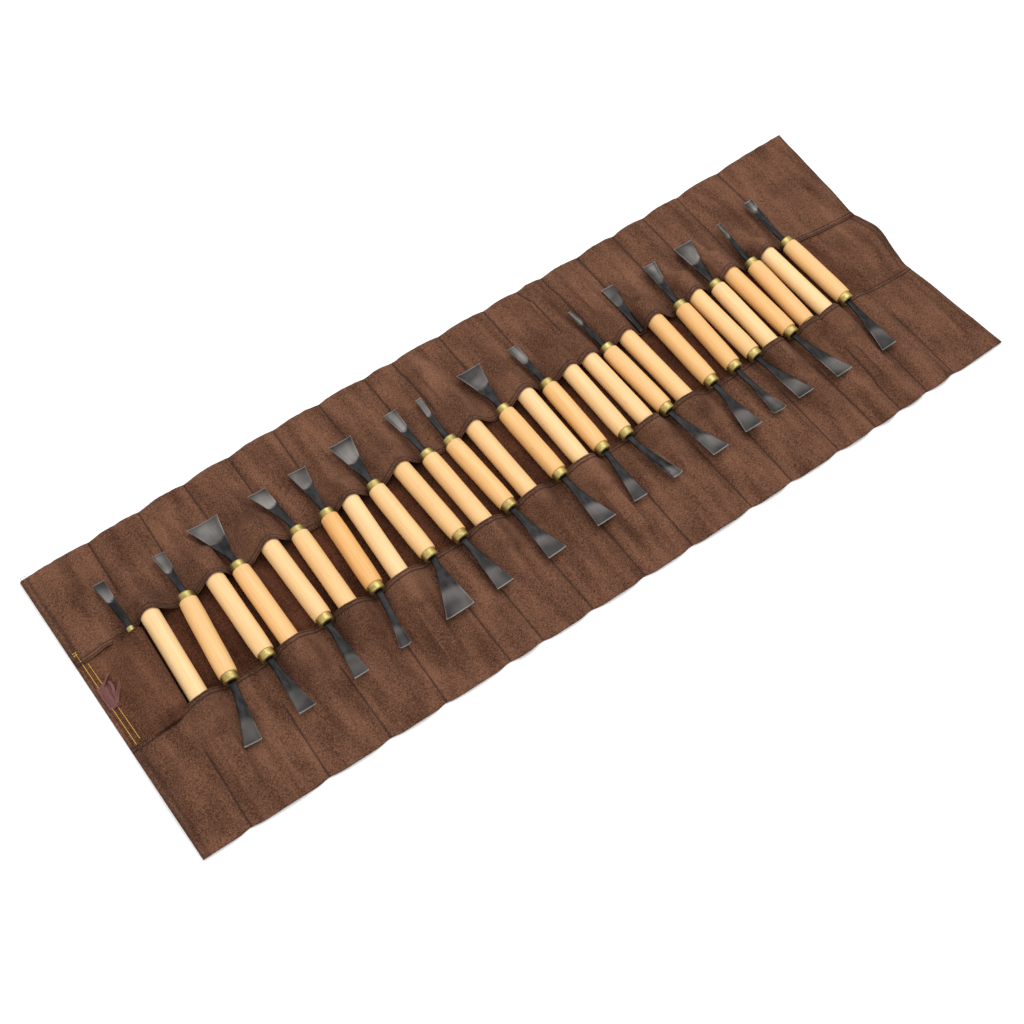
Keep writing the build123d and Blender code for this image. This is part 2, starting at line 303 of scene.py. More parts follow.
def steel_material():
    """Black forge scale on the neck, and satin ground steel with a painted reflection: cloudy, brightest at
    its border and darker to the edge, with a painted highlight along the edges.
    """
    material, tree, shader = new_material("steel")
    grain = attribute(tree, "grain", "Vector")
    clouds = noise(tree, stretched(tree, grain, (0.028, 0.032, 0.028)), 1, 1, 0.4)
    lines = noise(tree, stretched(tree, grain, (0.9, 0.03, 0.9)), 1, 1)
    scale = noise(tree, stretched(tree, grain, (0.16, 0.07, 0.16)), 1, 3, 0.5)
    forged = mixed(tree, levels(tree, scale, 0.35, 0.7), (0.006, 0.006, 0.006), (0.024, 0.022, 0.022))
    # Painted reflection: the ground steel is painted brightest at its border and darker towards the edge,
    # with cloudy patches painted in
    outward = levels(tree, attribute(tree, "past"), 0, 1, 0.58, 0.12)
    share = maths(tree, "ADD", outward, levels(tree, clouds, 0.32, 0.68, -0.34, 0.34))
    bright = mixed(tree, levels(tree, share, 0, 1), (0.030, 0.028, 0.026), (0.180, 0.166, 0.155))
    bright = mixed(tree, levels(tree, lines, 0.35, 0.7, 0, 0.22), bright, (0.040, 0.037, 0.035))
    colour = mixed(tree, attribute(tree, "ground"), forged, bright)
    # Painted highlight along the tip and the sides of the ground steel
    colour = mixed(tree, attribute(tree, "edge"), colour, (0.42, 0.40, 0.38))
    finish(tree, shader, colour, levels(tree, scale, 0.3, 0.7, 0.34, 0.44))
    shader.inputs["Metallic"].default_value = 0.85
    bump(tree, shader, maths(tree, "ADD", lines, scale), 0.12, 0.0001)
    return material


def yarn_material(name, colour, pitch):
    """Twisted sewing thread or a woven ribbon."""
    material, tree, shader = new_material(name)
    place = node(tree, "TexCoord").outputs["Object"]
    inputs = {"Vector": place, "Scale": pitch, "Distortion": 2.0}
    twist = node(tree, "TexWave", inputs, bands_direction="DIAGONAL")
    faded = tuple(min(1, 1.5 * part + 0.02) for part in colour)
    worn = noise(tree, place, 220, 2)
    share = maths(tree, "MULTIPLY", twist.outputs["Fac"], worn)
    finish(tree, shader, mixed(tree, share, colour, faded), levels(tree, worn, 0.3, 0.7, 0.6, 0.85))
    bump(tree, shader, twist.outputs["Fac"], 0.4, 0.0002)
    return material


def cloudy_material(name, scale, dark, light, roughness):
    """A plain surface that varies softly between two colours."""
    material, tree, shader = new_material(name)
    place = node(tree, "TexCoord").outputs["Object"]
    finish(tree, shader, mixed(tree, noise(tree, place, scale), dark, light), roughness)
    return material


CANVAS = canvas_material()
WOOD = wood_material()
BRASS = brass_material()
STEEL = steel_material()
# Painted shade: near-black for the bottom of a ferrule's mouth
MOUTH_SHADE = cloudy_material("mouth_shade", 900, (0.012, 0.010, 0.008), (0.03, 0.024, 0.018), 0.8)
BROWN_THREAD = yarn_material("brown_thread", THREAD_BROWN, 500)
GOLD_THREAD = yarn_material("gold_thread", THREAD_GOLD, 500)
RIBBON = yarn_material("ribbon", TIE_COLOUR, 260)


# ---- mesh helpers

def smoothstep(value):
    """Ease from 0 to 1."""
    t = np.clip(value, 0, 1)
    return t * t * (3 - 2 * t)


def line_mark(offset, width):
    """A soft mark that is strongest where the offset is 0."""
    return np.exp(-(offset / width) ** 2)


def added(name, data):
    """A new object in the scene."""
    made = bpy.data.objects.new(name, data)
    bpy.context.scene.collection.objects.link(made)
    return made


def make_piece(name, points, faces, materials, body, place=None, values=None, face_materials=None,
               closed=True):
    """A smooth piece from points in millimetres, with per-vertex values, riding on a body."""
    mesh = bpy.data.meshes.new(name)
    points = np.asarray(points, float)
    mesh.from_pydata((points * MM).tolist(), [], [list(map(int, face)) for face in faces])
    for material in materials:
        mesh.materials.append(material)
    if face_materials is not None:
        mesh.polygons.foreach_set("material_index", np.asarray(face_materials, np.int32))
    for key, data in (values or {}).items():
        data = np.asarray(data, np.float32)
        kind = "FLOAT_VECTOR" if data.ndim == 2 else "FLOAT"
        layer = mesh.attributes.new(key, kind, "POINT")
        layer.data.foreach_set("vector" if data.ndim == 2 else "value", data.ravel())
    if closed:
        shell = bmesh.new()
        shell.from_mesh(mesh)
        bmesh.ops.recalc_face_normals(shell, faces=shell.faces)
        shell.to_mesh(mesh)
        shell.free()
    mesh.polygons.foreach_set("use_smooth", [True] * len(mesh.polygons))
    mesh.set_sharp_from_angle(angle=math.radians(38))
    mesh.update()
    piece = added(name, mesh)
    if place is not None:
        piece.matrix_world = place
    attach(piece, body)
    return piece


def ring_faces(rings, sides):
    """The quads between successive rings of points, and a flat cap at each end."""
    faces = []
    for ring in range(rings - 1):
        for side in range(sides):
            after = (side + 1) % sides
            start = ring * sides
            faces.append((start + side, start + after, start + sides + after, start + sides + side))
    return faces + [tuple(reversed(range(sides))), tuple(range((rings - 1) * sides, rings * sides))]


def grid_faces(rows, columns):
    """The quads of a grid of points."""
    index = np.arange(rows * columns).reshape(rows, columns)
    corners = index[:-1, :-1], index[:-1, 1:], index[1:, 1:], index[1:, :-1]
    return np.stack([corner.ravel() for corner in corners], axis=1)


def lathe(outline, sides):
    """Points and faces of a shape turned about Y, from (radius, distance) points."""
    angles = np.arange(sides) * 2 * math.pi / sides
    points = [(r * math.cos(a), y, r * math.sin(a)) for r, y in outline for a in angles]
    return points, ring_faces(len(outline), sides)


def joined(parts):
    """Several (points, faces) put together."""
    points, faces = [], []
    for part_points, part_faces in parts:
        start = len(points)
        points += [tuple(p) for p in part_points]
        faces += [tuple(start + int(i) for i in face) for face in part_faces]
    return points, faces


# ---- gouges, from the frame

def points_in(name, place):
    """A CAD node's points in the axes of a place, in millimetres."""
    inverse = np.array(place.inverted())
    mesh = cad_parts[name].data
    points = np.empty(len(mesh.vertices) * 3)
    mesh.vertices.foreach_get("co", points)
    return (points.reshape(-1, 3) @ inverse[:3, :3].T + inverse[:3, 3]) / MM


def edge_of(points, side):
    """How far a blade reaches, and its middle, width, height and depth at the edge."""
    reach = (points[:, 1] * side).max()
    tip = points[points[:, 1] * side > reach - 0.3]
    low, high = tip.min(axis=0), tip.max(axis=0)
    return {
        "reach": reach,
        "middle": (low[0] + high[0]) / 2,
        "width": high[0] - low[0],
        "height": (low[2] + high[2]) / 2,
        "depth": high[2] - low[2] - EDGE_THICKNESS,
    }


class Tool:
    """A gouge's axes, and its CAD pieces' points along them."""

    def __init__(self, body, handle_node, blade_node):
        self.body = body
        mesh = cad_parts[handle_node].data
        centres = np.array([face.center for face in mesh.polygons])
        areas = np.array([face.area for face in mesh.polygons])
        middle = np.average(centres, axis=0, weights=areas)
        along = np.linalg.eigh(np.cov(centres.T, aweights=areas))[1][:, -1]
        along = along * np.sign(along[1])
        along[2] = 0
        along = along / np.linalg.norm(along)
        centre = middle + along * ((MID_Y * MM - middle[1]) / along[1])
        self.lean = math.atan2(along[0], along[1])
        self.x = centre[0] / MM
        middle_point = Matrix.Translation((centre[0], MID_Y * MM, AXIS_Z * MM))
        self.place = middle_point @ Matrix.Rotation(-self.lean, 4, "Z")
        self.handle = points_in(handle_node, self.place)
        self.blade = points_in(blade_node, self.place)

    def x_at(self, y):
        """The axis at a distance across the roll."""
        return self.x + (y - MID_Y) * math.tan(self.lean)

    def wood_end(self, side):
        """Where the full-sized wood stops."""
        radius = np.hypot(self.handle[:, 0], self.handle[:, 2])
        wide = self.handle[radius > 0.9 * radius.max()]
        return (wide[:, 1] * side).max()

    def travel(self):
        """How far the gouge slides to leave its pocket, which is further for a deep butt."""
        reaches = [(self.handle[:, 1] * side).max() for side in (1, -1) if self.kinds[side] == "butt"]
        return DEEP_PULL if max(reaches, default=0) > DEEP_BUTT else SHALLOW_PULL

    def blade_tip(self, side):
        """The edge of the blade at one end."""
        return edge_of(self.blade, side)


def wood_outline(end, kind, side):
    """One end of a handle, from its middle outwards, as (radius, distance) points."""
    if kind == "butt":
        outline = [(WOOD_R - 0.1, 12), (WOOD_R, 40), (WOOD_R, end - 4), (WOOD_R - 0.15, end - 2),
                   (WOOD_R - 0.8, end - 0.6), (WOOD_R - 2.2, end + 0.6), (WOOD_R - 5, end + 1)]
    else:
        outline = [(WOOD_R - 0.1, 12), (WOOD_R, 34), (WOOD_R - 0.1, end - 22), (WOOD_R - 0.45, end - 8),
                   (WOOD_R - 0.8, end - 1.6), (WOOD_R - 1.1, end - 0.5), (WOOD_R - 1.7, end)]
        outline.append((FERRULE_R - 1.5, end + 0.1))
    return [(r, side * y) for r, y in outline]


def grain_of(points, number):
    """Where each point lies in the wood or metal it was cut from, so that no two gouges look alike."""
    return np.asarray(points) + np.array([number * 61.0, number * 173.0, number * 37.0])


def make_handle(tool, number, far, near, tone):
    """A turned handle, with the end grain and the rims a little darker."""
    ends = [tool.wood_end(1), tool.wood_end(-1)]
    outline = wood_outline(ends[1], near, -1)[::-1] + wood_outline(ends[0], far, 1)
    points, faces = lathe(outline, WOOD_SIDES)
    rims = []
    for x, y, z in points:
        kind, end = (far, ends[0]) if y > 0 else (near, ends[1])
        radius = math.hypot(x, z)
        rims.append(0.5 if abs(y) > end - 0.7 and radius < WOOD_R - 1.3 else 0)
    values = {"grain": grain_of(points, number), "tone": [tone] * len(points), "rim": rims}
    piece = make_piece(f"{tool.body}_wood", points, faces, [WOOD], tool.body, tool.place, values)
    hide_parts(f"{tool.body}_handle")


def ferrule(shoulder, length, side):
    """A brass ferrule with a rolled lip at the wood and a rounded mouth round the blade, with painted shade
    inside the mouth.
    """
    tip = shoulder + length
    r = FERRULE_R
    outline = [(r - 1.6, shoulder - 0.4), (r + 0.05, shoulder - 0.3), (r + 0.25, shoulder + 0.4),
               (r + 0.05, shoulder + 1.2), (r - 0.1, shoulder + 2.2), (r, tip - 3.2), (r + 0.05, tip - 2.4),
               (r - 0.15, tip - 1.2), (r - 0.75, tip - 0.35), (r - 1.7, tip), (r - 3.4, tip + 0.05),
               (r - 4.2, tip - 0.3), (r - 4.6, tip - 1.1)]
    outline.append((0.6, tip - 1.2))
    points, faces = lathe([(radius, side * y) for radius, y in outline], FERRULE_SIDES)
    # Painted shade: the faces at the bottom of the mouth take the dark material
    kinds = [0] * (FERRULE_SIDES * (len(outline) - 2)) + [1] * FERRULE_SIDES + [0, 1]
    return points, faces, kinds


def blade_shape(form, tip, start, side, rows=44, around=28):
    """A blade's points and faces, and each point's marks: ground, how far out, and on an edge, where a
    highlight is painted.
    """
    flare, curve, ground_from = FLARES[form]
    length = tip["reach"] - start
    angles = (np.arange(around) + 0.5) * 2 * math.pi / around
    points, ground, past, edge = [], [], [], []
    for share in np.linspace(-0.05, 1, rows):
        held = max(share, 0)
        opened = max(0.0, held - flare) / (1 - flare)
        width = NECK_WIDTH + (tip["width"] - NECK_WIDTH) * opened ** curve
        thick = NECK_THICKNESS + (EDGE_THICKNESS - NECK_THICKNESS) * held ** 0.8
        if share > 0.955:
            thick *= 1 - 0.75 * (share - 0.955) / 0.045
        depth = tip["depth"] * opened
        middle = tip["middle"] * held ** 1.3
        height = tip["height"] * opened
        squareness = 0.55 - 0.3 * opened
        for angle in angles:
            across = np.sign(math.cos(angle)) * abs(math.cos(angle)) ** squareness
            up = np.sign(math.sin(angle)) * abs(math.sin(angle)) ** 0.62
            bend = abs(across) if form == "v_tool" else across ** 2
            rounding = 0 if form in ("chisel", "fishtail") else 0.02 * length * across ** 2 * opened ** 6
            y = start + share * length - rounding
            z = height + depth * (bend - 0.5) + up * thick / 2
            points.append((middle + across * width / 2, side * y, z))
            border = ground_from + 0.05 * across ** 2 + 0.03 * across
            # Painted shade: a near-end blade's ground steel is painted only part way to bright, with a
            # softer border, standing in for a darker reflection
            shine, softness = (1, 0.03) if side > 0 else (0.55, 0.12)
            ground.append(shine * float(smoothstep((share - border) / softness)))
            # How far past the border a point lies, which sets the painted reflection on the ground steel
            past.append(min(max((share - border) / (1 - border), 0.0), 1.0))
            # Painted highlight: a lighter line along the tip and the sides of the ground part
            rim = abs(across) > 0.97 and share > ground_from - 0.1
            edge.append(0.4 if share > 0.98 else (0.2 if rim else 0))
    faces = ring_faces(rows, around)
    return points, faces, {"ground": ground, "past": past, "edge": edge}


def make_metal(tool, number, far, near):
    """The ferrules of a gouge as one piece and its blades as another."""
    brass_parts, brass_kinds, blades = [], [], []
    for kind, side in ((far, 1), (near, -1)):
        if kind == "butt":
            continue
        shoulder = tool.wood_end(side)
        length = HOOP_LENGTH if kind == "hoop" else FERRULE_LENGTH
        points, faces, kinds = ferrule(shoulder, length, side)
        brass_parts.append((points, faces))
        brass_kinds += kinds
        if kind != "hoop":
            blades.append(blade_shape(kind, tool.blade_tip(side), shoulder + length, side))
    points, faces = joined(brass_parts)
    values = {"grain": grain_of(points, number)}
    brass = make_piece(f"{tool.body}_ferrules", points, faces, [BRASS, MOUTH_SHADE], tool.body,
                       tool.place, values, brass_kinds)
    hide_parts(f"{tool.body}_blade")
    points, faces = joined([blade[:2] for blade in blades])
    values = {key: sum((blade[2][key] for blade in blades), []) for key in ("ground", "past", "edge")}
    values["grain"] = grain_of(points, number)
    steel = make_piece(f"{tool.body}_steel", points, faces, [STEEL], tool.body, tool.place,
                       values)
    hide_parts(f"{tool.body}_blade")


tools = []
for number, (far, near, tone) in enumerate(GOUGES, 1):
    body = f"gouge_{number:02d}"
    tool = Tool(body, f"{body}_handle", f"{body}_blade")
    tool.kinds = {1: far, -1: near}
    tools.append(tool)
    make_handle(tool, number, far, near, tone)
    make_metal(tool, number, far, near)

held_tools = {side: [tool for tool in tools if tool.kinds[side] in HELD] for side in (1, -1)}
bare_tools = {side: [tool for tool in tools if tool.kinds[side] not in HELD] for side in (1, -1)}

# ---- canvas heights

rng = np.random.default_rng(SEED)
FOLDS = [(rng.uniform(11, 46), rng.uniform(-0.16, 0.16), rng.uniform(0, 6.28)) for _ in range(9)]
PATCHES = [(rng.uniform(60, 170), rng.uniform(0, 3.14), rng.uniform(0, 6.28)) for _ in range(6)]
POCKET_FULLNESS = rng.uniform(0.55, 1.1, 40)

# The end gouge and the spare blade: where they lie, and where their blades start
END_X = -614
END_LEAN = math.tan(math.radians(3))
END_ARCH_R = 12.9
SPARE_X = 245
SPARE_LEAN = math.tan(math.radians(2.4))
LONE_START = 70


def steps(at, points):
    """A value that eases from one (place, value) point to the next."""
    at = np.asarray(at, float)
    value = np.full(at.shape, float(points[0][1]))
    for (start, low), (end, high) in zip(points, points[1:]):
        value = value + (high - low) * smoothstep((at - start) / (end - start))
    return value


def lower_of(first, second, blend):
    """The lower of two heights, with a rounded corner between them."""
    near = np.clip(0.5 + 0.5 * (second - first) / blend, 0, 1)
    return second * (1 - near) + first * near - blend * near * (1 - near)


def lean_at(x):
    """How far the gouges and the folds lean, as X per Y, at a place along the roll."""
    leans = np.interp(x, [tool.x for tool in tools], [math.tan(tool.lean) for tool in tools])
    return 0.6 * leans + 0.4 * np.mean([math.tan(tool.lean) for tool in tools])


def folds(x, y):
    """Soft creases that run with the gouges, stronger in some places than in others."""
    total = 0
    for wavelength, slant, phase in FOLDS:
        total = total + wavelength ** 0.5 * np.sin(TURN * (x + slant * y) / wavelength + phase)
    strength = 0
    for wavelength, turn, phase in PATCHES:
        along = x * math.cos(turn) + y * math.sin(turn)
        strength = strength + np.sin(TURN * along / wavelength + phase)
    return 0.06 * total * (0.75 + 0.3 * strength)


def edge_y(side, x):
    """The roll's long edges, which pull in a little at each seam."""
    plain = np.interp(x, *zip(*EDGES[side]))
    at_seam = sum(line_mark(x - seam - 3.0 * side, 13) for seam in SEAMS[side])
    return plain - side * EDGE_PULL[side] * at_seam


def right_end(y):
    """The roll's right end, at a distance across it."""
    return np.interp(y, *zip(*RIGHT_OUTLINE))


def pocket_share(side, x, y):
    """How far across its pocket a place is, and how full the pocket is."""
    seams = np.array([LEFT_END - 14, *SEAMS[side], RIGHT_END + 14])
    at_middle = x - (y - MID_Y - side * POCKET_MIDDLE) * lean_at(x)
    number = np.clip(np.searchsorted(seams, at_middle) - 1, 0, len(seams) - 2)
    share = (at_middle - seams[number]) / (seams[number + 1] - seams[number])
    return np.clip(share, 0, 1), POCKET_FULLNESS[number + (0 if side > 0 else 18)]


def lift(x, y):
    """How far both layers of canvas rise off the bench together: along the edges and at the right end."""
    height = 0
    for side in (1, -1):
        share, fullness = pocket_share(side, x, y)
        reach = np.abs(y - MID_Y) * (np.sign(y - MID_Y) == side)
        rise = EDGE_RISE[side] * fullness * np.sin(math.pi * share) ** 2
        height = height + rise * smoothstep((reach - 175) / 65)
    past = np.clip((x - 572) / 110, 0, 1)
    ridge = 12 - 58 * (1 - past)
    width = 24 + 14 * past
    wave = 17 * smoothstep(past) * line_mark(y - ridge, width)
    keep_in = smoothstep((y + 66) / 26) * smoothstep((74 - y) / 26)
    return height + wave * keep_in


def roof_under(tool, side, x, y):
    """The highest that canvas may lie below a bare gouge end, and below its sweep as it is drawn out."""
    reach = side * (y - MID_Y)
    across = np.abs(x - tool.x_at(y))
    travel = tool.travel() if tool.kinds[-side] in HELD else 0
    clear = tool.wood_end(side) + travel + 1
    tip = tool.blade_tip(side)
    round_r = WOOD_R + 1
    wood = AXIS_Z - np.sqrt(round_r ** 2 - np.minimum(across, WOOD_R) ** 2)
    wood = wood + 4 * np.clip(across - WOOD_R, 0, None)
    opened = smoothstep((reach - clear) / (tip["reach"] - clear + 1))
    half = 6 + (tip["width"] / 2 + abs(tip["middle"]) - 4) * opened
    blade = UNDER_BLADE + 1.1 * np.clip(across - half, 0, None)
    share = smoothstep((reach - clear) / 22)
    return wood * (1 - share) + blade * share


def arch_share(across):
    """The share of its full height that canvas drawn over a handle has, at a distance from the axis."""
    across = np.abs(across)
    full = AXIS_Z + ARCH_R - STRIP_TOP
    knee = ARCH_R * math.sin(KNEE)
    round_part = AXIS_Z - STRIP_TOP + np.sqrt(ARCH_R ** 2 - np.minimum(across, knee) ** 2)
    knee_height = AXIS_Z + ARCH_R * math.cos(KNEE) - STRIP_TOP
    t = np.clip((across - knee) / (TENT_FOOT - knee), 0, 1)
    slope = -math.tan(KNEE) * (TENT_FOOT - knee) / knee_height
    falling = knee_height * (2 * t ** 3 - 3 * t ** 2 + 1 + slope * (t ** 3 - 2 * t ** 2 + t))
    return np.where(across <= knee, round_part, falling) / full


def skin_over(tool, side, x, y):
    """The lowest that canvas can lie over a covered end: just clear of its wood, ferrule and blade."""
    reach = side * (y - MID_Y)
    across = np.abs(x - tool.x_at(y))
    deeper = tool.travel() if tool.kinds[side] == "covered" else 0
    end = (tool.handle[:, 1] * side).max()
    if tool.kinds[side] != "butt":
        end = tool.wood_end(side) + FERRULE_LENGTH + deeper
    clear = WOOD_R + 0.35 + STRIP_THICKNESS
    wood = AXIS_Z + np.sqrt(np.clip(clear ** 2 - across ** 2, 0, None))
    over = np.where((across < clear) & (reach < end + 2), wood, 0)
    if tool.kinds[side] == "covered":
        tip = tool.blade_tip(side)
        half = tip["width"] / 2 + 5
        thick = np.interp(reach - deeper, [end - deeper, tip["reach"]], [NECK_THICKNESS, EDGE_THICKNESS])
        highest = AXIS_Z + (thick + tip["depth"]) / 2 + 0.8
        blade = highest + STRIP_THICKNESS - 2 * np.clip(across - half, 0, None)
        swept = tip["reach"] + deeper + 3
        blade = blade - 1.5 * np.clip(reach - swept, 0, None)
        over = np.maximum(over, np.where(reach < swept + 12, blade, 0))
    return over


def held_share(tool, side, y):
    """The share of a full arch's height over a covered end, at a distance across the roll."""
    reach = side * (y - MID_Y)
    kind = tool.kinds[side]
    if kind == "covered":
        end = tool.wood_end(side) + FERRULE_LENGTH + tool.travel() + 3
        swept = min(tool.blade_tip(side)["reach"] + tool.travel() + 2, 212)
        return steps(reach, [(end, 1), (end + 10, 0.66), (swept - 8, 0.6), (238, 0.02)])
    end = (tool.handle[:, 1] * side).max() if kind == "butt" else tool.wood_end(side) + HOOP_LENGTH
    return steps(reach, [(end + 2, 1), (end + 26, 0.42), (end + 70, 0.26), (205, 0.16), (238, 0.02)])


def strip_top(side, x, y):
    """The top of a pocket strip."""
    reach = side * (y - MID_Y)
    share, fullness = pocket_share(side, x, y)
    pocket = 1 - np.abs(2 * share - 1) ** 2.4
    puff = steps(reach, [(60, 1.2), (118, 5.6), (195, 4.8), (238, 0.6)]) * fullness * pocket
    height = STRIP_TOP + puff + folds(x, y) * steps(reach, [(60, 0.5), (110, 1.3), (230, 0.7)])
    full = AXIS_Z + ARCH_R - STRIP_TOP
    for tool in held_tools[side]:
        across = x - tool.x_at(y)
        part = held_share(tool, side, y)
        soft = smoothstep((part - 0.3) / 0.33)
        mound = np.cos(np.clip(across / 25, -1, 1) * math.pi / 2) ** 2
        over = STRIP_TOP + full * part * (soft * arch_share(across) + (1 - soft) * mound)
        inner = np.clip(1.3 - np.abs(across) / ARCH_R, 0, 1) * soft
        height = np.maximum(height * (1 - inner), over)
    for tool in bare_tools[side]:
        height = lower_of(height, roof_under(tool, side, x, y), 0.8)
    if side > 0:
        across = np.abs(x - END_X - (y - MID_Y) * END_LEAN)
        height = lower_of(height, steps(reach, [(92, 4.2), (110, 8.6)]) + 0.04 * across ** 2, 0.8)
        across = np.abs(x - SPARE_X - (y - MID_Y) * SPARE_LEAN)
        roof = steps(reach, [(162, 6.3), (185, 10)]) + 1.6 * np.clip(across - 12.5, 0, None)
        height = lower_of(height, roof, 0.5)
        height = height + 7 * line_mark(x - END_X + 34, 17) * (1 - smoothstep((reach - 64) / 34))
    for tool in held_tools[side]:
        height = np.maximum(height, skin_over(tool, side, x, y))
    hem = smoothstep((reach - hem_reach(side, x)) / -1.2 + HEM_WIDTH / 1.2)
    for tool in bare_tools[side]:
        hem = hem * (1 - np.exp(-((x - tool.x_at(y)) / 7) ** 4))
    return np.maximum(height, STRIP_TOP + 0.05) + lift(x, y) + 0.6 * hem


def hem_reach(side, x):
    """How far the hem lies from the middle line: further out where it is drawn over a handle."""
    reach = np.full(np.shape(x), 63.5)
    for tool in held_tools[side]:
        reach = reach + 5 * line_mark(x - tool.x_at(MID_Y + 68 * side), 18)
    wander = 1.6 * np.sin(x / 31 + side) + 1.2 * np.sin(x / 83 + 2 * side)
    left = 3.5 * smoothstep((-560 - x) / 60)
    right = (-6 if side > 0 else 4) * smoothstep((x - 555) / 60)
    return reach + wander + left + right


def base_top(x, y):
    """The top of the base sheet: it puffs up between the handles and lies flat under the strips."""
    reach = np.abs(y - MID_Y)
    free = 5.2 + 1.6 * folds(0.7 * x, 1.3 * y)
    for tool in tools:
        across = np.abs(x - tool.x_at(y))
        free = lower_of(free, 3.1 + 0.03 * across ** 2, 0.6)
    middle = smoothstep((60 - reach) / 16)
    ends = smoothstep((x + 604) / 16) * (1 - smoothstep((x - 556) / 30) * 0.6)
    return BASE_TOP + np.maximum(middle * ends * (free - BASE_TOP), 0) + lift(x, y)


def cover_top(x, y):
    """The canvas over the end gouge's handle: close on its right, and falling to the roll's left end."""
    reach = y - MID_Y
    across = x - END_X - reach * END_LEAN
    full = AXIS_Z + END_ARCH_R - STRIP_TOP
    held = np.clip(across, 0, END_ARCH_R - 0.4)
    right = (AXIS_Z - STRIP_TOP + np.sqrt(END_ARCH_R ** 2 - held ** 2)) / full
    right = right * (1 - smoothstep((across - END_ARCH_R + 0.6) / 2.2))
    left = 1 - smoothstep((-across - 5) / 54)
    along = steps(reach, [(-80, 0.06), (-60, 1), (40, 1), (58, 0.985)])
    tucked = steps(reach, [(30, 1), (66, 0.35)])
    left = left * (tucked + (1 - tucked) * smoothstep((across + 26) / 14))
    pillow = 0.9 * folds(0.8 * x + 40, 0.8 * y) * smoothstep(-across / 20) * smoothstep((x - LEFT_END) / 30)
    return STRIP_TOP + full * along * np.where(across > 0, right, left) + pillow * along


# ---- canvas pieces

def canvas_sheet(name, x, y, z, marks, thickness):
    """A sheet of canvas whose top goes through a grid of points, with the marks that its material reads."""
    points = np.stack([x, y, z], axis=2).reshape(-1, 3)
    values = {key: mark.ravel() for key, mark in marks.items()}
    piece = make_piece(name, points, grid_faces(*x.shape), [CANVAS], "roll", values=values,
                       closed=False)
    solid = piece.modifiers.new("thickness", "SOLIDIFY")
    solid.thickness = thickness * MM
    solid.offset = -1
    solid.use_even_offset = True
    return piece


def close_columns(handles, seams, start, end, fine=1.3, coarse=4.2):
    """Places along the roll, closer together over each handle and beside each seam."""
    places = [start]
    while places[-1] < end - coarse:
        after = places[-1] + fine
        over_handle = min(abs(after - handle) for handle in handles) < ARCH_R + 3
        beside_seam = min(abs(after - seam) for seam in seams) < 4
        places.append(places[-1] + (fine if over_handle or beside_seam else coarse))
    return np.array(places + [end])


def seam_x(side, seam, y):
    """A seam between two pockets, at a distance across the roll."""
    x = seam
    for _ in range(2):
        x = seam + (y - MID_Y - side * POCKET_MIDDLE) * lean_at(x)
    return x


def drawn_in(x, y):
    """A place moved along the roll, so that the last ones follow the right end."""
    return x + (right_end(y) - RIGHT_END) * smoothstep((x - 555) / (RIGHT_END - 555))


def strip_grid(side):
    """The places of a strip's grid: rows from hem to edge, and columns that lean with the gouges."""
    handles = [tool.x_at(MID_Y + HEM_AT * side) for tool in held_tools[side]]
    seams = [seam - side * 78 * lean_at(seam) for seam in SEAMS[side]]
    columns = close_columns(handles, seams, LEFT_END + 1, 691)
    near_hem = [0, 0.5, 1.3, 2.2, 3.1, 4.6, 6.2, 7.2, 8.2, 9.4, 12]
    rest = np.linspace(16, 172, 38)
    near_edge = [173.5, 174.6, 175.2]
    distance = np.concatenate([near_hem, rest, near_edge])[:, None]
    y_hem = MID_Y + side * hem_reach(side, columns)[None, :]
    y_edge = edge_y(side, columns)[None, :]
    share = distance / distance[-1]
    stretch = (np.abs(y_edge - y_hem) / distance[-1] - 1) * smoothstep(share)
    y = y_hem + side * distance * (1 + stretch)
    fade = smoothstep((columns + 690) / 70) * smoothstep((690 - columns) / 70)
    x = columns[None, :] + (y - MID_Y - HEM_AT * side) * lean_at(columns)[None, :] * fade[None, :]
    return drawn_in(x, y), y, distance


def pocket_strip(name, side):
    """A pocket strip with its hem, seams and end hems pressed into it."""
    x, y, distance = strip_grid(side)
    z = strip_top(side, x, y)
    z = z - 0.9 * smoothstep((distance - 173) / 2.2)
    z = z - 0.5 * line_mark(distance, 0.6)
    seam = np.zeros_like(x)
    for line in HEM_LINES:
        z = z - 0.28 * line_mark(distance - line, 0.9)
        seam = np.maximum(seam, line_mark(distance - line, 0.9))
    sewn = smoothstep((distance - SEAM_START + 12) / 24)
    for place in SEAMS[side]:
        across = x - seam_x(side, place, y)
        z = z - 0.7 * sewn * line_mark(across, 1.8)
        seam = np.maximum(seam, 0.95 * sewn * line_mark(across, 1.2))
    for from_end in (np.abs(x - LEFT_END), np.abs(right_end(y) - x)):
        z = z + 0.8 * smoothstep((10.5 - from_end) / 1.5)
        for line in END_LINES:
            seam = np.maximum(seam, 0.5 * line_mark(from_end - line, 1.2))
    if side < 0:
        x, y, z, seam = x[::-1], y[::-1], z[::-1], seam[::-1]
    piece = canvas_sheet(name, x, y, z, {"seam": seam, "inner": np.zeros_like(x)}, STRIP_THICKNESS)
    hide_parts("pocket_strips")
    return piece


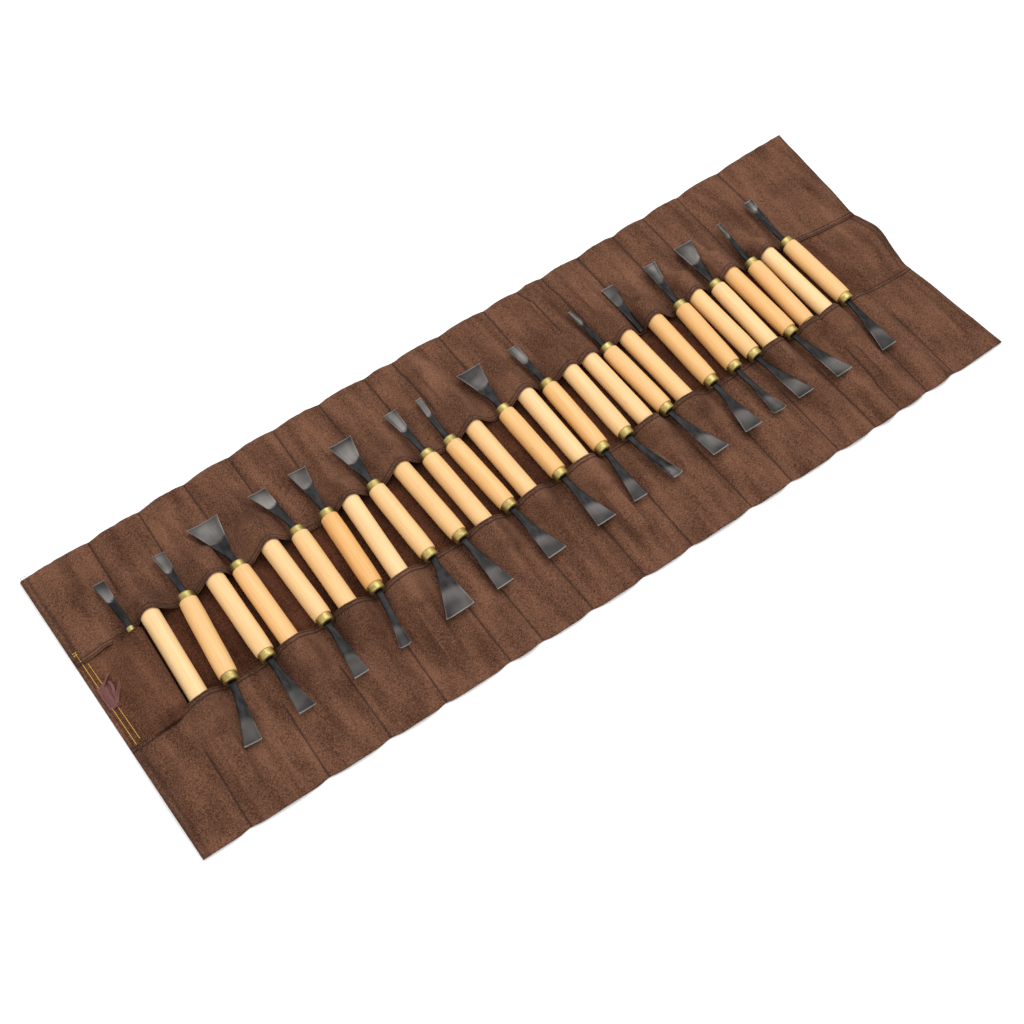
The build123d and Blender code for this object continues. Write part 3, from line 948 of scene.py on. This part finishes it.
def base_sheet():
    """The base sheet, from edge to edge."""
    inner = np.arange(-91, 92, 2.8)
    outer = np.linspace(98, 247, 13)
    across = np.concatenate([-outer[::-1], inner, outer])[:, None]
    columns = np.linspace(LEFT_END, RIGHT_END, 390)
    reach_far, reach_near = [np.abs(edge_y(side, columns) - MID_Y)[None, :] for side in (1, -1)]
    reach = np.where(across > 0, reach_far, reach_near)
    stretch = (reach / 247 - 1) * smoothstep((np.abs(across) - 90) / 157)
    y = MID_Y + across * (1 + stretch)
    x = drawn_in(np.broadcast_to(columns[None, :], y.shape), y)
    z = base_top(x, y)
    from_end = np.abs(right_end(y) - x)
    seam = np.zeros_like(x)
    z = z + 0.8 * smoothstep((10.5 - from_end) / 1.5)
    for line in END_LINES:
        seam = np.maximum(seam, 0.5 * line_mark(from_end - line, 1.4))
    # Painted shade: "inner" marks the base between the handles, which is darkened as if in their shade
    inner = smoothstep((92 - np.abs(y - MID_Y)) / 8)
    inner = inner * smoothstep((x + 640) / 30) * smoothstep((612 - x) / 60)
    piece = canvas_sheet("base_sheet", x, y, z, {"seam": seam, "inner": inner}, BASE_TOP)
    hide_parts("base_cloth")
    return piece


def end_cover():
    """The canvas over the end gouge's handle."""
    gentle = np.linspace(LEFT_END + 6, -632, 22)
    columns = np.concatenate([gentle, np.arange(-630, -604, 1.4), np.arange(-603.4, -598.4, 0.5)])
    rows = np.linspace(0, 1, 62)[:, None]
    mouth = 59 + 15 * smoothstep((-629 - columns) / 9) + 1.2 * np.sin(columns / 7)
    y = MID_Y - 74 + rows * (74 + mouth[None, :])
    x = columns[None, :] + (y - MID_Y) * END_LEAN * smoothstep((columns + 690) / 70)[None, :]
    z = cover_top(x, y)
    from_mouth = MID_Y + mouth[None, :] - y
    seam = 0.5 * line_mark(from_mouth - 2, 1.2)
    # Painted shade: the whole cover takes part of the painted shade of the zone between the hems
    marks = {"seam": seam, "inner": np.full_like(x, 0.45)}
    return canvas_sheet("end_cover", x, y, z, marks, STRIP_THICKNESS)


# ---- stitching

STITCH_SIDES = 5


def stitch_row(path, pitch=3.6, length=2.9, radius=0.42):
    """The points and faces of the stitches along a path of points."""
    travelled = np.concatenate([[0], np.cumsum(np.linalg.norm(np.diff(path, axis=0), axis=1))])
    parts = []
    for start in np.arange(0.4, travelled[-1] - length, pitch):
        first, last = [np.array([np.interp(start + part, travelled, path[:, axis]) for axis in range(3)])
                       for part in (0, length)]
        along = last - first
        along = along / max(np.linalg.norm(along), 1e-6)
        beside = np.cross(along, (0, 0, 1))
        beside = beside / max(np.linalg.norm(beside), 1e-6)
        above = np.cross(beside, along)
        points = []
        for part, size, sink in ((0, 0.35, 0.35), (0.22, 1, 0), (0.78, 1, 0), (1, 0.35, 0.35)):
            centre = first + (last - first) * part - above * sink * radius
            for corner in range(STITCH_SIDES):
                angle = corner * 2 * math.pi / STITCH_SIDES
                points.append(centre + radius * size * (math.cos(angle) * beside + math.sin(angle) * above))
        parts.append((points, ring_faces(4, STITCH_SIDES)))
    return parts


def stitching(name, paths, material, **sizes):
    """Rows of stitches as one piece."""
    parts = []
    for path in paths:
        parts += stitch_row(np.asarray(path, float), **sizes)
    points, faces = joined(parts)
    return make_piece(name, points, faces, [material], "roll")


def on_strip(side, x, y):
    """A path on a strip's top, from places along and across the roll."""
    return np.stack([x, y, strip_top(side, x, y) + 0.1], axis=1)


def strip_paths(side):
    """Where a strip is stitched: two rows along its hem, two at each end and one down each seam."""
    paths = []
    x = np.arange(LEFT_END + 3, 676, 2.0)
    for line in HEM_LINES:
        y = MID_Y + side * (hem_reach(side, x) + line)
        paths.append(on_strip(side, drawn_in(x, y), y))
    for seam in SEAMS[side]:
        start = MID_Y + side * (hem_reach(side, np.array([seam]))[0] + SEAM_START)
        y = np.arange(start, edge_y(side, np.array([seam]))[0], side * 3.0)
        x = np.array([seam_x(side, seam, at) for at in y])
        path = on_strip(side, x, y)
        path[:, 2] -= 0.45
        paths.append(path)
    for line in END_LINES:
        y = np.arange(MID_Y + side * 70, MID_Y + side * 225, side * 3.0)
        for x in (np.full(y.shape, LEFT_END + line), right_end(y) - line):
            path = on_strip(side, x, y)
            path[:, 2] += 0.7
            paths.append(path)
    return paths


def base_paths():
    """Two rows of stitches down the right end of the base, between the strips."""
    paths = []
    y = np.arange(MID_Y - 66, MID_Y + 58, 3.0)
    for line in END_LINES:
        x = right_end(y) - line
        paths.append(np.stack([x, y, base_top(x, y) + 0.85], axis=1))
    return paths


def gold_paths():
    """The two gold rows that hold the left end, with a bar across at their far end."""
    paths = []
    for x_far, x_near, start, end in ((-684, -683, 88, -72), (-677.5, -675.5, 67, -64)):
        y = np.arange(start, end, -3.0)
        x = np.linspace(x_far, x_near, len(y))
        top = np.maximum(cover_top(x, y), np.where(y > 70, strip_top(1, x, y), 0))
        paths.append(np.stack([x, y, top + 0.5], axis=1))
    for y_bar in (88, 84.5):
        x = np.array([-688.5, -686, -682])
        y = np.full(3, float(y_bar))
        paths.append(np.stack([x, y, strip_top(1, x, y) + 1.2], axis=1))
    return paths


# ---- the tie

def ribbon(path, width, turns):
    """A strip of points along a path, turned about it by an angle in degrees at each point."""
    columns = 5
    points = []
    for index, point in enumerate(path):
        before, after = path[max(index - 1, 0)], path[min(index + 1, len(path) - 1)]
        along = (Vector(after) - Vector(before)).normalized()
        beside = along.cross(Vector((0, 0, 1))).normalized()
        above = beside.cross(along)
        turn = math.radians(turns[index])
        half = width / 2 * (math.cos(turn) * beside + math.sin(turn) * above)
        left, right = Vector(point) - half, Vector(point) + half
        points += [left.lerp(right, column / (columns - 1)) for column in range(columns)]
    return points, [tuple(face) for face in grid_faces(len(path), columns)]


def tie():
    """The crumpled ribbon sewn to the left end: a folded pad along the edge, and two short tails."""
    parts = []
    creases = [(-685, 5, 4.4, 30), (-681.5, 6, 6.0, -30), (-677.5, 6, 6.6, 25), (-674, 5, 5.0, -35)]
    for x, width, z, turn in creases:
        pad = [(x, 29, z - 0.6), (x + 0.8, 21, z + 0.8), (x - 0.3, 12, z), (x + 0.9, 3, z + 0.9),
               (x + 0.6, -8, z - 0.8)]
        parts.append(ribbon(pad, width, [turn, turn - 14, turn + 10, turn - 10, turn]))
    first = [(-681, 24, 6.4), (-676, 28, 8.4), (-671, 32, 8.8), (-667, 36, 7.0), (-663, 41, 4.4)]
    middle = [(-669, 30, 6.0), (-668, 21, 8.2), (-670, 12, 8.6), (-673, 3, 6.4)]
    second = [(-676, -4, 6.4), (-671, 2, 8.8), (-665, 10, 9.4), (-658, 18, 7.6), (-651, 26, 4.6)]
    parts.append(ribbon(first, 5, [10, 40, 60, 30, 10]))
    parts.append(ribbon(middle, 4.5, [20, -25, 30, 10]))
    parts.append(ribbon(second, 5.5, [0, -35, -55, -30, 0]))
    points, faces = joined(parts)
    piece = make_piece("tie", points, faces, [RIBBON], "roll", closed=False)
    smooth = piece.modifiers.new("smooth", "SUBSURF")
    smooth.levels = 2
    smooth.render_levels = 2
    solid = piece.modifiers.new("thickness", "SOLIDIFY")
    solid.thickness = 0.7 * MM
    return piece


# ---- the end gouge and the spare blade

def placed_at(x, lean, z):
    """The axes of a gouge at a place along the roll, with its lean as X per Y."""
    return Matrix.Translation((x * MM, MID_Y * MM, z * MM)) @ Matrix.Rotation(-math.atan(lean), 4, "Z")


def lone_blade(node_name, place, number):
    """A blade with no second one on its gouge, made around a node that has its body's name."""
    tip = {**edge_of(points_in(node_name, place), 1), "height": 0, "depth": 0.7}
    points, faces, values = blade_shape("chisel", tip, LONE_START, 1)
    values["grain"] = grain_of(points, number)
    piece = make_piece(f"{node_name}_steel", points, faces, [STEEL], node_name, place, values)
    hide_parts(node_name)


def end_gouge():
    """The slim gouge whose handle lies under the canvas at the left end."""
    place = placed_at(END_X, END_LEAN, AXIS_Z)
    outline = [(6, -60.5), (9.5, -60.2), (10.6, -59), (11, -56), (11, 46), (10.2, 50), (7.6, 56),
               (5.4, 60.4)]
    points, faces = lathe(outline, WOOD_SIDES)
    values = {"grain": grain_of(points, 31), "tone": [0.4] * len(points), "rim": [0] * len(points)}
    make_piece("end_gouge_wood", points, faces, [WOOD], "end_gouge", place, values)
    collar = [(4.6, 60.0), (5.7, 60.3), (5.75, 61.5), (5.45, 62.4), (5.45, 67.0), (5.7, 68.0), (5.6, 69.4),
              (4.9, 70.0), (4.5, 69.8)]
    points, faces = lathe(collar, FERRULE_SIDES)
    make_piece("end_gouge_collar", points, faces, [BRASS], "end_gouge", place,
               {"grain": grain_of(points, 32)})
    lone_blade("end_gouge", place, 33)


# ---- putting it together

base = base_sheet()
far_strip = pocket_strip("far_strip", 1)
near_strip = pocket_strip("near_strip", -1)
cover = end_cover()
tie_piece = tie()
far_thread = stitching("far_strip_thread", strip_paths(1), BROWN_THREAD)
near_thread = stitching("near_strip_thread", strip_paths(-1), BROWN_THREAD)
base_thread = stitching("base_thread", base_paths(), BROWN_THREAD)
gold = stitching("gold_thread", gold_paths(), GOLD_THREAD, pitch=3.1, length=2.9, radius=0.55)
end_gouge()
spare_z = sum(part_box("spare_blade")[corner][2] for corner in (0, 1)) / 2 / MM
lone_blade("spare_blade", placed_at(SPARE_X, SPARE_LEAN, spare_z), 34)


# ---- floor, light and camera

def make_floor():
    """A wide plain floor."""
    mesh = bpy.data.meshes.new("floor")
    half = 6.0
    corners = [(-half, -half, 0), (half, -half, 0), (half, half, 0), (-half, half, 0)]
    mesh.from_pydata(corners, [], [(0, 1, 2, 3)])
    mesh.materials.append(cloudy_material("floor", 3, (0.90, 0.90, 0.90), (0.92, 0.92, 0.92), 0.7))
    floor = added("floor", mesh)
    floor.location.z = -0.0004


def softbox(name, position, aim, size, power):
    """A large square light that points at a place."""
    light = bpy.data.lights.new(name, "AREA")
    light.size = size
    light.energy = power
    lamp = added(name, light)
    lamp.location = position
    lamp.rotation_euler = (Vector(aim) - Vector(position)).to_track_quat("-Z", "Y").to_euler()


def make_camera():
    """The camera, in metres: its place, the way it looks and its roll about that."""
    camera = added("camera", bpy.data.cameras.new("camera"))
    camera.data.lens = 53.94
    camera.data.sensor_width = 36
    forward = Vector((0.34453, 0.37178, -0.86202))
    right = Vector((0.79800, -0.59962, 0.06033))
    turn = Matrix((right, right.cross(forward), -forward)).transposed()
    camera.matrix_world = Matrix.Translation((-0.8253, -0.8521, 1.8283)) @ turn.to_4x4()
    bpy.context.scene.camera = camera


make_floor()
softbox("key", (0.8, 0.9, 2.6), (0, 0, 0), 2.6, 52)
softbox("fill", (-1.8, -0.6, 2.4), (0, 0, 0), 2.4, 22)
world = bpy.data.worlds.new("studio")
world.use_nodes = True
background = world.node_tree.nodes["Background"]
background.inputs["Color"].default_value = (1, 1, 1, 1)
background.inputs["Strength"].default_value = 0.8
bpy.context.scene.world = world
bpy.context.scene.view_settings.view_transform = "Standard"
make_camera()
